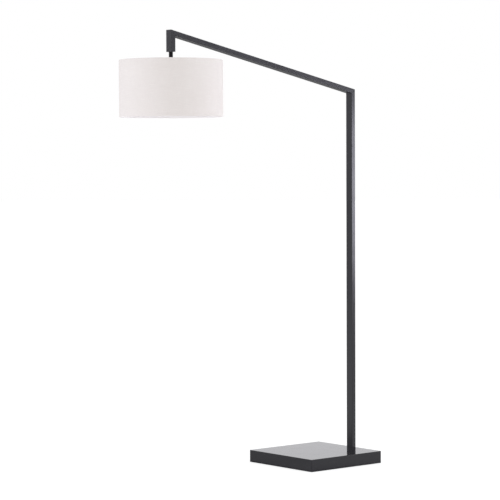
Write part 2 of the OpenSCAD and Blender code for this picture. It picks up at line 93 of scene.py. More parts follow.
def add_camera():
    """A long lens, far to the front left, a little below the shade."""
    data = bpy.data.cameras.new("camera")
    data.sensor_width = 36
    data.lens = CAMERA_LENS
    camera = bpy.data.objects.new("camera", data)
    bpy.context.scene.collection.objects.link(camera)
    aim = Euler((math.pi / 2 + CAMERA_PITCH, 0, -CAMERA_HEADING)).to_matrix()
    aim = aim @ Matrix.Rotation(CAMERA_ROLL, 3, "Z")
    camera.matrix_world = Matrix.Translation(CAMERA_PLACE) @ aim.to_4x4()
    bpy.context.scene.camera = camera


def add_softbox(name, heading, height, size, strength, colour, spread=180):
    """A softbox at a compass heading (0 is +Y), facing the lamp. A grid narrows its light to the spread."""
    data = bpy.data.lights.new(name, "AREA")
    data.shape = "RECTANGLE"
    data.size, data.size_y = size
    data.energy = strength
    data.spread = math.radians(spread)
    data.color = colour
    light = bpy.data.objects.new(name, data)
    bpy.context.scene.collection.objects.link(light)
    angle = math.radians(heading)
    away = Vector((math.sin(angle), math.cos(angle), 0))
    light.matrix_world = (
        Matrix.Translation(Vector((0, 0, height)) + away * SOFTBOX_DISTANCE)
        @ away.to_track_quat("Z", "Y").to_matrix().to_4x4()
    )


def add_sky():
    """White all round. In reflections it is a little brighter and cooler towards the horizon."""
    world = bpy.data.worlds.new("studio")
    bpy.context.scene.world = world
    world.use_nodes = True
    nodes_of = world.node_tree.nodes
    link = world.node_tree.links.new
    height = nodes_of.new("ShaderNodeSeparateXYZ")
    link(nodes_of.new("ShaderNodeTexCoord").outputs["Generated"], height.inputs[0])
    fall = nodes_of.new("ShaderNodeMapRange")
    for socket, value in zip(fall.inputs[1:5], (*HORIZON_FADE, 0, 1)):
        socket.default_value = value
    link(height.outputs["Z"], fall.inputs[0])
    rise = nodes_of.new("ShaderNodeMix")
    rise.data_type = "RGBA"
    link(fall.outputs[0], rise.inputs[0])
    rise.inputs[6].default_value = HORIZON
    rise.inputs[7].default_value = WHITE
    seen = nodes_of.new("ShaderNodeMix")
    seen.data_type = "RGBA"
    link(nodes_of.new("ShaderNodeLightPath").outputs["Is Camera Ray"], seen.inputs[0])
    link(rise.outputs[2], seen.inputs[6])
    seen.inputs[7].default_value = WHITE
    link(seen.outputs[2], nodes_of["Background"].inputs["Color"])


def add_floor():
    """Wide white paper, which the camera sees nearly without shadow, save under the base.

    In reflections it has painted shade, darker far behind the lamp, and a faint painted glow nearer to it,
    and it is grey where the shade's shadow is painted, left of the base.
    """
    mesh = bpy.data.meshes.new("floor")
    bm = bmesh.new()
    bmesh.ops.create_circle(bm, cap_ends=True, segments=64, radius=FLOOR_R)
    bm.to_mesh(mesh)
    bm.free()
    floor = bpy.data.objects.new("floor", mesh)
    bpy.context.scene.collection.objects.link(floor)
    surface = Surface("floor_paper", {"Roughness": 0.9, "Specular IOR Level": 0.1})
    place_and_way = {0: surface.place, 1: AWAY_FROM_CAMERA}
    behind = surface.add("VectorMath", place_and_way, operation="DOT_PRODUCT").outputs["Value"]
    # Painted shade: seen in reflections, the floor far behind the lamp is painted darker.
    painted_far_shade = surface.remap(behind, *FAR_FLOOR, 0, 1)
    shadow_place = {0: surface.place, 1: SHADE_SHADOW}
    from_shadow = surface.add("VectorMath", shadow_place, operation="DISTANCE").outputs["Value"]
    # Painted shadow: grey where the shade's shadow falls, seen only in reflections.
    shadow = surface.remap(from_shadow, *SHADE_SHADOW_R, 0.45, 0)
    paper = surface.blend(surface.noise(scale=3, detail=3), (0.93, 0.93, 0.93), (0.96, 0.96, 0.96))
    reflected = surface.blend(surface.sum("MAXIMUM", painted_far_shade, shadow), paper, (0.24, 0.24, 0.24))
    parts = surface.add("SeparateXYZ", {0: surface.place})
    from_middle = [surface.sum("ABSOLUTE", parts.outputs[i]) for i in range(2)]
    under_base = surface.remap(surface.sum("MAXIMUM", *from_middle), base_high.y - 2 * MM, base_high.y, 1, 0)
    in_view = surface.add("LightPath", {}).outputs["Is Camera Ray"]
    lit = surface.sum("MULTIPLY", in_view, surface.sum("SUBTRACT", 1.0, under_base))
    surface.colour(surface.blend(lit, reflected, (0.30, 0.30, 0.30)))
    # Painted light: in reflections the floor near the lamp glows faintly, fading out far behind it.
    painted_glow_near_lamp = surface.remap(surface.sum("MAXIMUM", painted_far_shade, in_view), 0, 1, 0.12, 0)
    glow = surface.sum("ADD", painted_glow_near_lamp, surface.sum("MULTIPLY", lit, FLOOR_GLOW))
    surface.put(surface.shader.inputs["Emission Color"], (1, 1, 1))
    surface.put(surface.shader.inputs["Emission Strength"], glow)
    mesh.materials.append(surface.material)


def add_stage():
    """A wide pale floor under a white sky, with cool softboxes on each side of the camera's view."""
    bpy.context.scene.view_settings.view_transform = "Standard"
    add_sky()
    add_floor()
    blue = (0.83, 0.87, 1.0)
    lilac = (0.88, 0.87, 1.0)
    add_softbox("softbox_right", 141, 2.9, (1.1, 0.7), 36, blue)
    add_softbox("softbox_low_right", 141, 1.10, (1.1, 0.8), 1.5, lilac, spread=40)
    add_softbox("softbox_left", -78, 1.3, (1.0, 1.0), 11, blue)


# ---- Materials ----


class Surface:
    """A material: one Principled shader, and the nodes that drive it in the piece's own coordinates."""

    def __init__(self, name, fixed):
        self.material = bpy.data.materials.new(name)
        self.material.use_nodes = True
        self.tree = self.material.node_tree
        self.shader = self.tree.nodes["Principled BSDF"]
        for socket, value in fixed.items():
            self.shader.inputs[socket].default_value = value
        self.place = self.add("TexCoord", {}).outputs["Object"]

    def add(self, kind, inputs, **settings):
        """A node of this kind, with its settings and its inputs, which are values or other nodes' outputs."""
        node = self.tree.nodes.new("ShaderNode" + kind)
        for name, value in settings.items():
            setattr(node, name, value)
        for name, value in inputs.items():
            self.put(node.inputs[name], value)
        return node

    def put(self, socket, value):
        """Links an output to the socket, or sets the socket's value."""
        if isinstance(value, bpy.types.NodeSocket):
            self.tree.links.new(value, socket)
        elif isinstance(value, tuple) and len(value) == 3 and socket.type == "RGBA":
            socket.default_value = (*value, 1)
        else:
            socket.default_value = value

    def stretched(self, x, y, z):
        """The piece's coordinates, scaled along each axis."""
        return self.add("Mapping", {"Vector": self.place, "Scale": (x, y, z)}).outputs[0]

    def noise(self, scale, detail=2.0, place=None):
        """Smooth noise from 0 to 1, with this many blotches per metre."""
        inputs = {"Vector": place or self.place, "Scale": scale, "Detail": detail}
        return self.add("TexNoise", inputs).outputs[0]

    def cells(self, scale):
        """Distance from the middle of random cells, with this many cells per metre."""
        return self.add("TexVoronoi", {"Vector": self.place, "Scale": scale}).outputs[0]

    def remap(self, value, low, high, to_low, to_high):
        """Turns the range low to high into to_low to to_high, and holds it there."""
        inputs = {0: value, 1: low, 2: high, 3: to_low, 4: to_high}
        return self.add("MapRange", inputs).outputs[0]

    def blend(self, factor, first, second):
        """The first colour where the factor is 0 and the second where it is 1."""
        node = self.add("Mix", {}, data_type="RGBA")
        self.put(node.inputs[0], factor)
        self.put(node.inputs[6], first)
        self.put(node.inputs[7], second)
        return node.outputs[2]

    def sum(self, operation, first, second=0.0):
        """One arithmetic step on two numbers."""
        return self.add("Math", {0: first, 1: second}, operation=operation).outputs[0]

    def edges(self, width):
        """1 on the edges of the piece and 0 on its faces, over about this width."""
        rounded_normal = self.add("Bevel", {"Radius": width}, samples=4).outputs[0]
        flat_normal = self.add("NewGeometry", {}).outputs["Normal"]
        likeness = self.add("VectorMath", {0: rounded_normal, 1: flat_normal}, operation="DOT_PRODUCT")
        return self.remap(likeness.outputs["Value"], 0.995, 0.90, 0.0, 1.0)

    def colour(self, value):
        """Sets the base colour."""
        self.put(self.shader.inputs["Base Color"], value)

    def roughness(self, value):
        """Sets the roughness."""
        self.put(self.shader.inputs["Roughness"], value)

    def relief(self, *layers):
        """Bump from layers of (height from 0 to 1, depth in metres), one over the other."""
        normal = None
        for height, depth in layers:
            inputs = {"Height": height, "Distance": depth, "Strength": 1.0}
            bump = self.add("Bump", inputs)
            if normal:
                self.put(bump.inputs["Normal"], normal)
            normal = bump.outputs[0]
        self.put(self.shader.inputs["Normal"], normal)


def shade_of(colour, factor):
    """A colour, darker or lighter by a factor."""
    return tuple(part * factor for part in colour)


def milky(amount, depth):
    """Settings for light that scatters this deep below the surface, evenly for every colour."""
    return {"Subsurface Weight": amount, "Subsurface Scale": depth, "Subsurface Radius": (1, 1, 1)}


def make_paint(name, colour, roughness, peel_depth, grain_depth, ior=1.4):
    """Sprayed metallic paint: orange peel, fine grain, handling marks and rubbed edges."""
    surface = Surface(name, {"IOR": ior})
    clouds = surface.noise(scale=7, detail=4)
    flakes = surface.remap(surface.noise(scale=2400, detail=1), 0.55, 0.75, 0, 1)
    worn = surface.sum("MULTIPLY", surface.edges(0.9 * MM), surface.noise(scale=60, detail=4))
    body = surface.blend(clouds, shade_of(colour, 0.82), shade_of(colour, 1.18))
    body = surface.blend(surface.sum("MULTIPLY", flakes, 0.25), body, shade_of(colour, 2.2))
    surface.colour(surface.blend(worn, body, shade_of(colour, 2.6)))
    smears = surface.noise(scale=18, detail=5)
    surface.roughness(surface.remap(smears, 0.3, 0.7, roughness - 0.03, roughness + 0.04))
    surface.relief(
        (surface.noise(scale=520, detail=1), peel_depth),
        (surface.noise(scale=2600, detail=1), grain_depth),
    )
    return surface.material


def make_powder_coat(name, colour):
    """White powder coat, baked on: a finely dimpled skin with dull patches, thin and grey on the edges."""
    surface = Surface(name, {"IOR": 1.5})
    clouds = surface.noise(scale=25, detail=4)
    body = surface.blend(clouds, shade_of(colour, 0.93), shade_of(colour, 1.03))
    thin = surface.sum("MULTIPLY", surface.edges(0.2 * MM), surface.noise(scale=120, detail=3))
    surface.colour(surface.blend(thin, body, shade_of(colour, 0.75)))
    surface.roughness(surface.remap(clouds, 0.3, 0.7, 0.34, 0.48))
    surface.relief((surface.noise(scale=900, detail=1), 0.004 * MM))
    return surface.material


def make_metal(name, colour, roughness, streaks=(40, 40, 900)):
    """Bare or plated metal: drawn streaks, dull patches and bright edges."""
    surface = Surface(name, {"Metallic": 1.0})
    drawn = surface.noise(scale=1, detail=3, place=surface.stretched(*streaks))
    dull = surface.noise(scale=90, detail=4)
    body = surface.blend(dull, shade_of(colour, 0.80), shade_of(colour, 1.05))
    surface.colour(surface.blend(surface.edges(0.4 * MM), body, shade_of(colour, 1.15)))
    surface.roughness(surface.remap(dull, 0.3, 0.7, roughness - 0.07, roughness + 0.10))
    surface.relief((drawn, 0.010 * MM), (surface.noise(scale=1800), 0.006 * MM))
    return surface.material


def make_plastic(name, colour, roughness, texture_depth, subsurface=0.0):
    """Moulded plastic: a fine spark-eroded texture, faint flow marks and polished edges."""
    surface = Surface(name, {"IOR": 1.5, **milky(subsurface, 1.0 * MM)})
    flow = surface.noise(scale=1, detail=4, place=surface.stretched(30, 30, 120))
    body = surface.blend(flow, shade_of(colour, 0.90), shade_of(colour, 1.08))
    surface.colour(surface.blend(surface.edges(0.4 * MM), body, shade_of(colour, 1.25)))
    surface.roughness(surface.remap(flow, 0.3, 0.7, roughness - 0.05, roughness + 0.07))
    surface.relief((surface.noise(scale=1500, detail=2), texture_depth))
    return surface.material


def make_concrete():
    """Cast concrete: grey paste, paler stones, air holes."""
    surface = Surface("cast_concrete", {"Specular IOR Level": 0.3})
    stones = surface.remap(surface.cells(130), 0.15, 0.35, 1, 0)
    holes = surface.remap(surface.cells(260), 0.06, 0.12, 0, 1)
    paste = surface.blend(surface.noise(scale=25, detail=6), (0.33, 0.32, 0.30), (0.52, 0.50, 0.47))
    surface.colour(surface.blend(surface.sum("MULTIPLY", stones, 0.4), paste, (0.58, 0.56, 0.52)))
    surface.roughness(surface.remap(surface.noise(scale=200), 0.3, 0.7, 0.80, 0.95))
    surface.relief((surface.noise(scale=600, detail=5), 0.5 * MM), (holes, 0.8 * MM))
    return surface.material


def make_foam():
    """Closed-cell foam rubber."""
    surface = Surface("foam_rubber", {"Specular IOR Level": 0.3, "Sheen Weight": 0.15})
    cells = surface.cells(1300)
    surface.colour(surface.blend(cells, (0.016, 0.016, 0.018), (0.045, 0.045, 0.048)))
    surface.roughness(surface.remap(surface.noise(scale=60, detail=4), 0.3, 0.7, 0.82, 0.95))
    surface.relief((cells, 0.15 * MM))
    return surface.material


def make_card():
    """Insulating card: pressed fibres, with a slight shine from its wax."""
    surface = Surface("insulating_card", {"Specular IOR Level": 0.35})
    fibres = surface.noise(scale=1, detail=5, place=surface.stretched(300, 300, 1200))
    surface.colour(surface.blend(fibres, (0.42, 0.33, 0.21), (0.62, 0.52, 0.37)))
    surface.roughness(surface.remap(fibres, 0.3, 0.7, 0.55, 0.75))
    surface.relief((fibres, 0.05 * MM))
    return surface.material


def make_fabric():
    """White linen on the drum: a plain weave of uneven threads with slubs.

    Painted shade darkens the gaps between the threads; painted light whitens the strip turned in at each end.
    """
    fixed = {"Specular IOR Level": 0.25, "Sheen Weight": 0.10, "Sheen Roughness": 0.5}
    surface = Surface("drum_linen", fixed)
    warp_pitch = 0.62 * MM
    weft_pitch = 0.56 * MM
    parts = surface.add("SeparateXYZ", {0: surface.place})
    across = surface.sum("SUBTRACT", parts.outputs[0], stem_x)
    angle = surface.sum("ARCTAN2", parts.outputs[1], across)
    beside = surface.sum("MULTIPLY", parts.outputs[1], parts.outputs[1])
    around = surface.sum("MULTIPLY", angle, shade_r)
    up = parts.outputs[2]
    sway = surface.sum("MULTIPLY", surface.noise(scale=45, detail=3), 1.2 * MM)
    warp_turns = surface.sum("MULTIPLY", surface.sum("ADD", around, sway), math.pi / warp_pitch)
    weft_turns = surface.sum("MULTIPLY", surface.sum("ADD", up, sway), math.pi / weft_pitch)
    warp = surface.sum("SINE", warp_turns)
    weft = surface.sum("SINE", weft_turns)
    over = surface.remap(surface.sum("MULTIPLY", warp, weft), -1, 1, 0, 1)
    under = surface.sum("SUBTRACT", 1.0, over)
    warp_part = surface.sum("MULTIPLY", surface.sum("ABSOLUTE", warp), over)
    weft_part = surface.sum("MULTIPLY", surface.sum("ABSOLUTE", weft), under)
    weave = surface.sum("ADD", warp_part, weft_part)
    flat_place = surface.add("CombineXYZ", {0: around, 1: up}).outputs[0]
    weft_run = surface.add("Mapping", {"Vector": flat_place, "Scale": (22, 1500, 1)}).outputs[0]
    warp_run = surface.add("Mapping", {"Vector": flat_place, "Scale": (1400, 26, 1)}).outputs[0]
    weft_slubs = surface.remap(surface.noise(scale=1, detail=1, place=weft_run), 0.58, 0.74, 0, 1)
    warp_slubs = surface.remap(surface.noise(scale=1, detail=1, place=warp_run), 0.60, 0.76, 0, 1)
    slubs = surface.sum("MAXIMUM", weft_slubs, surface.sum("MULTIPLY", warp_slubs, 0.7))
    # Painted shade: the weave is painted darker between the threads, where shade falls in the gaps.
    gap_shade_mask = surface.remap(weave, 0.15, 0.55, 0, 1)
    thread = surface.blend(surface.noise(scale=9, detail=3), (0.650, 0.606, 0.580), (0.685, 0.642, 0.616))
    cloth = surface.blend(gap_shade_mask, (0.53, 0.50, 0.48), thread)
    outside = surface.blend(slubs, cloth, (0.73, 0.70, 0.67))
    from_axis = surface.sum("SQRT", surface.sum("ADD", surface.sum("MULTIPLY", across, across), beside))
    # Painted light: the strip turned in at each end is painted whiter, standing in for the light that reaches
    # it inside the drum.
    painted_light_turned_in = surface.remap(from_axis, shade_r - 2 * MM, shade_r - 1 * MM, 1, 0)
    surface.colour(surface.blend(painted_light_turned_in, outside, (0.82, 0.79, 0.79)))
    surface.roughness(surface.remap(weave, 0, 1, 0.95, 0.80))
    surface.relief((weave, 0.12 * MM), (slubs, 0.12 * MM))
    return surface.material


def make_liner():
    """White styrene behind the fabric: faint ripples from rolling, a soft gloss."""
    surface = Surface("white_styrene", {"IOR": 1.45, **milky(0.1, 1.0 * MM)})
    ripple = surface.noise(scale=1, detail=2, place=surface.stretched(14, 14, 3))
    surface.colour(surface.blend(ripple, (0.90, 0.89, 0.88), (0.94, 0.93, 0.92)))
    surface.roughness(surface.remap(surface.noise(scale=40, detail=4), 0.3, 0.7, 0.42, 0.58))
    surface.relief((ripple, 0.2 * MM), (surface.noise(scale=900), 0.01 * MM))
    return surface.material


def make_opal():
    """The bulb's opal diffuser: milky, with an even satin surface."""
    surface = Surface("opal_diffuser", {"IOR": 1.5, **milky(0.6, 4.0 * MM)})
    haze = surface.noise(scale=70, detail=4)
    surface.colour(surface.blend(haze, (0.86, 0.85, 0.82), (0.90, 0.895, 0.87)))
    surface.roughness(surface.remap(haze, 0.3, 0.7, 0.28, 0.40))
    surface.relief((surface.noise(scale=1100, detail=1), 0.01 * MM))
    return surface.material


# ---- Mesh tools ----

SAME_POINT = 1e-7
SHORTEST_CUT_EDGE = 0.002 * MM


def rounded(corners, steps=4):
    """A closed outline through corners of (across, up, radius), each corner turned by a smooth curve."""
    points = []
    for i, (across, up, radius) in enumerate(corners):
        here = Vector((across, up))
        if radius == 0:
            points.append(here)
            continue
        before = Vector(corners[i - 1][:2]) - here
        after = Vector(corners[(i + 1) % len(corners)][:2]) - here
        half_angle = before.angle(after) / 2
        reach = min(radius / math.tan(half_angle), 0.49 * before.length, 0.49 * after.length)
        start = here + before.normalized() * reach
        end = here + after.normalized() * reach
        for step in range(steps + 1):
            t = step / steps
            points.append((1 - t) ** 2 * start + 2 * t * (1 - t) * here + t**2 * end)
    return points


def finer(outline, longest):
    """The same closed outline, with its long stretches cut into equal lengths."""
    points = []
    for here, after in zip(outline, outline[1:] + outline[:1]):
        count = max(1, math.ceil((after - here).length / longest))
        points.extend(here.lerp(after, i / count) for i in range(count))
    return points


def turned(outline, steps=96, shape=None):
    """A bmesh of a closed outline of (radius, height), turned about Z.

    shape, if given, takes the angle, radius and height of a point and gives its new radius.
    """
    bm = bmesh.new()
    rings = []
    for i in range(steps):
        angle = FULL_TURN * i / steps
        ring = []
        for radius, height in outline:
            r = shape(angle, radius, height) if shape else radius
            ring.append(bm.verts.new((r * math.cos(angle), r * math.sin(angle), height)))
        rings.append(ring)
    for ring, after in zip(rings, rings[1:] + rings[:1]):
        for j, low in enumerate(ring):
            k = (j + 1) % len(ring)
            bm.faces.new((low, after[j], after[k], ring[k]))
    bmesh.ops.remove_doubles(bm, verts=bm.verts, dist=SAME_POINT)
    return bm


def rod(points, radius, sides=20):
    """A bmesh of a round rod along points, with domed ends."""
    bm = bmesh.new()
    dome = 4
    stations = []
    for i in range(dome):
        turn = math.pi / 2 * i / dome
        stations.append((0, -math.cos(turn) * radius, math.sin(turn) * radius))
    stations.extend((i, 0.0, radius) for i in range(len(points)))
    for i in reversed(range(dome)):
        turn = math.pi / 2 * i / dome
        stations.append((len(points) - 1, math.cos(turn) * radius, math.sin(turn) * radius))
    rings = []
    for index, along, r in stations:
        before = points[max(index - 1, 0)]
        after = points[min(index + 1, len(points) - 1)]
        heading = (after - before).normalized()
        turn = heading.to_track_quat("Z", "Y")
        middle = points[index] + heading * along
        rings.append(
            [
                bm.verts.new(
                    middle
                    + turn @ Vector((math.cos(FULL_TURN * j / sides), math.sin(FULL_TURN * j / sides), 0)) * r
                )
                for j in range(sides)
            ]
        )
    for ring, after in zip(rings, rings[1:]):
        for j in range(sides):
            k = (j + 1) % sides
            bm.faces.new((ring[j], ring[k], after[k], after[j]))
    bmesh.ops.remove_doubles(bm, verts=bm.verts, dist=SAME_POINT)
    return bm


def joined(parts):
    """One bmesh of several, each given with the matrix that places it."""
    bm = bmesh.new()
    for part, place in parts:
        part.transform(place)
        mesh = bpy.data.meshes.new("part")
        part.to_mesh(mesh)
        part.free()
        bm.from_mesh(mesh)
        bpy.data.meshes.remove(mesh)
    return bm


def drilled(bm, start, end, radius):
    """A bmesh like bm, with a round hole cut through it along a line.

    Edges shorter than SHORTEST_CUT_EDGE are taken out of the result. In the holder's shell that leaves
    two slits 0.004 mm wide on the hole's rim.
    """
    solids = []
    for source in (bm, rod([start, end], radius, 48)):
        bmesh.ops.recalc_face_normals(source, faces=source.faces)
        mesh = bpy.data.meshes.new("drilling")
        source.to_mesh(mesh)
        source.free()
        solid = bpy.data.objects.new("drilling", mesh)
        bpy.context.scene.collection.objects.link(solid)
        solids.append(solid)
    body, drill = solids
    cut = body.modifiers.new("hole", "BOOLEAN")
    cut.operation = "DIFFERENCE"
    cut.solver = "EXACT"
    cut.object = drill
    evaluated = body.evaluated_get(bpy.context.evaluated_depsgraph_get())
    result = bmesh.new()
    result.from_mesh(evaluated.to_mesh())
    bmesh.ops.dissolve_degenerate(result, edges=result.edges, dist=SHORTEST_CUT_EDGE)
    evaluated.to_mesh_clear()
    for solid in solids:
        bpy.data.meshes.remove(solid.data)
    return result


def add_piece(name, bm, body, slot, stands_for=(), place=None, sharp=40):
    """Makes an object of a bmesh, gives it the slot's material, and lets it ride on a body."""
    if place:
        bm.transform(place)
    bmesh.ops.recalc_face_normals(bm, faces=bm.faces)
    mesh = bpy.data.meshes.new(name)
    bm.to_mesh(mesh)
    bm.free()
    mesh.shade_smooth()
    mesh.set_sharp_from_angle(angle=math.radians(sharp))
    mesh.materials.append(MATERIALS[slot])
    piece = bpy.data.objects.new(name, mesh)
    bpy.context.scene.collection.objects.link(piece)
    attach(piece, body)
    if stands_for:
        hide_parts(*stands_for)
    return piece


def at_stem(z=0.0):
    """Places a piece that is turned about Z on the stem's axis."""
    return Matrix.Translation((stem_x, 0, z))


# ---- Shade ----

SPOKES = 3
SPOKE_TURN = 20
FABRIC_T = 0.4 * MM
FABRIC_OVERLAP = 14 * MM
FABRIC_SEAM = math.radians(-55)
HEM_TURN_IN = 7 * MM
LINER_T = 0.4 * MM
LINER_OVERLAP = 16 * MM
LINER_SEAM = math.radians(125)
SEAM_STEPS = 288


def ribbon(path, thickness, start, overlap, steps):
    """A bmesh of a strip wrapped once round Z, whose end lies on its own start.

    path is the strip's open cross-section, as (radius, height) from inside to outside; start is the angle of
    its first edge. Near the overlap the strip steps out by its own thickness, along the section's normal.
    """
    normals = []
    for i in range(len(path)):
        along = (path[min(i + 1, len(path) - 1)] - path[max(i - 1, 0)]).normalized()
        normals.append(Vector((along.y, -along.x)))
    overlap_angle = overlap / path[len(path) // 2].x
    total = FULL_TURN + overlap_angle
    bm = bmesh.new()
    rings = []
    for i in range(steps + 1):
        turned_by = total * i / steps
        climb = min(1, max(0, (turned_by - FULL_TURN + overlap_angle) / overlap_angle))
        lift = thickness * climb * climb * (3 - 2 * climb)
        angle = start + turned_by
        ring = []
        for side in (1, -1):
            for point, normal in zip(path[::side], normals[::side]):
                r, z = point + normal * (side * thickness / 2 + lift)
                ring.append(bm.verts.new((r * math.cos(angle), r * math.sin(angle), z)))
        rings.append(ring)
    count = len(rings[0])
    for ring, after in zip(rings, rings[1:]):
        for j in range(count):
            k = (j + 1) % count
            bm.faces.new((ring[j], ring[k], after[k], after[j]))
    half = count // 2
    for ring in (rings[0], rings[-1]):
        for j in range(half - 1):
            bm.faces.new((ring[j], ring[j + 1], ring[count - 2 - j], ring[count - 1 - j]))
    return bm


def add_shade_skin():
    """Linen round the drum, turned over the ring at each end and glued down inside."""
    outer = shade_r - 1.5 * FABRIC_T
    ring_low, ring_high = span("shade_bottom_ring")
    wire_r = (ring_high - ring_low) / 2
    wire_at = half_width("shade_bottom_ring") - wire_r
    wire_z = (ring_low + ring_high) / 2 - shade_low.z
    height = shade_high.z - shade_low.z
    rim_gap = 0.05 * MM
    edge = FABRIC_T + rim_gap
    tuck_depth = 0.6 * MM
    tuck_r = half_width("shade_liner") - tuck_depth - FABRIC_T
    inner = wire_at - wire_r - FABRIC_T
    half = [
        Vector((tuck_r, wire_z + HEM_TURN_IN)),
        Vector((tuck_r, wire_z + 4.6 * MM)),
        Vector((inner + 0.9 * MM, wire_z + 2.2 * MM)),
    ]
    half_way = (inner + outer) / 2
    for step in range(9):
        turn = math.pi * (1 + step / 8)
        across = half_way + (outer - half_way) * math.cos(turn)
        half.append(Vector((across, edge + wire_z * (1 + math.sin(turn)))))
    half.append(Vector((outer, wire_z + 4 * MM)))
    middle = [Vector((outer, height * i / 8)) for i in range(1, 8)]
    path = half + middle + [Vector((p.x, height - p.y)) for p in reversed(half)]
    cloth = ribbon(path, FABRIC_T, FABRIC_SEAM, FABRIC_OVERLAP, SEAM_STEPS)
    skin = add_piece("drum_fabric", cloth, "shade", "shade_fabric", ["shade_skin"], at_stem(shade_low.z))


def add_shade_liner():
    """Styrene inside the fabric, lapped on itself at the back."""
    low, high = span("shade_liner")
    radius = half_width("shade_liner") - 1.6 * LINER_T
    path = [Vector((radius, (high - low) * i / 6)) for i in range(7)]
    sheet = ribbon(path, LINER_T, LINER_SEAM, LINER_OVERLAP, SEAM_STEPS)
    add_piece("drum_liner", sheet, "shade", "shade_liner", ["shade_liner"], at_stem(low))


def wire_ring(radius, wire, z):
    """A bmesh of a round wire bent to a ring about Z."""
    circle = []
    for i in range(16):
        turn = FULL_TURN * i / 16
        circle.append(Vector((radius + wire * math.cos(turn), z + wire * math.sin(turn))))
    return turned(circle, steps=192)


def add_shade_fitter():
    """The upper ring, three spokes bent down to the rim of a pressed hub, and their welds.

    The spokes end outside the washer under the hub, so that the shade can turn on it.
    """
    fitter_high = span("shade_fitter")[1]
    bottom_low, bottom_high = span("shade_bottom_ring")
    wire = (bottom_high - bottom_low) / 2
    ring_radius = half_width("shade_bottom_ring") - wire
    ring_z = fitter_high - wire
    hub_t = 1.6 * MM
    hub_r = 16 * MM
    hub_low = span("stem_sleeve")[0] - 0.15 * MM - hub_t
    bore = 5.08 * MM
    spoke_r = 2 * MM
    spoke_start = hub_r + 0.5 * MM
    spoke_bend = hub_r + 6 * MM
    weld_r = 2.5 * MM
    hub = rounded(
        [
            (bore, 0, 0.3 * MM),
            (hub_r, 0, 0.7 * MM),
            (hub_r, hub_t, 0.7 * MM),
            (bore, hub_t, 0.3 * MM),
        ]
    )
    parts = [
        (wire_ring(ring_radius, wire, ring_z), at_stem()),
        (turned(hub), at_stem(hub_low)),
    ]
    for i in range(SPOKES):
        turn = Matrix.Rotation(math.radians(SPOKE_TURN + 360 / SPOKES * i), 4, "Z")
        inner = Vector((spoke_start, 0, hub_low + hub_t / 2))
        outer = Vector((ring_radius - wire, 0, ring_z))
        bend = Vector((spoke_bend, 0, inner.z + 0.2 * MM))
        path = [inner, inner.lerp(bend, 0.6)]
        # Round the bend, the path leaves the line from the hub and joins the line to the ring
        for step in range(1, 6):
            t = step / 6
            path.append(inner.lerp(bend, 0.6 + 0.4 * t).lerp(bend.lerp(outer, 0.06 * t), t))
        path.append(bend.lerp(outer, 0.5))
        path.append(outer)
        parts.append((rod(path, spoke_r), at_stem() @ turn))
        weld_ends = [outer - Vector((2.4 * MM, 0, 0.3 * MM)), outer + Vector((0.5 * MM, 0, 0))]
        parts.append((rod(weld_ends, weld_r, 16), at_stem() @ turn))
    add_piece("shade_fitter_welded", joined(parts), "shade", "ring_wire", ["shade_fitter"])
    lower = wire_ring(ring_radius, wire, (bottom_low + bottom_high) / 2)
    add_piece("shade_lower_ring", lower, "shade", "ring_wire", ["shade_bottom_ring"], at_stem())


# ---- Lamp holder, bulb and switch ----

E26_PITCH = 3.629 * MM
THREAD_DEPTH = 0.4 * MM
THREAD_STEP = 0.45 * MM


def screw_shape(depth, low, high, fade=1.6 * MM):
    """A rounded lamp thread: adds a helical wave to the radius, which fades out at both ends."""

    def shape(angle, radius, height):
        if radius < 8 * MM:
            return radius
        strength = max(0, min((height - low) / fade, (high - height) / fade, 1))
        return radius + depth * strength * math.sin(FULL_TURN * height / E26_PITCH - angle)

    return shape


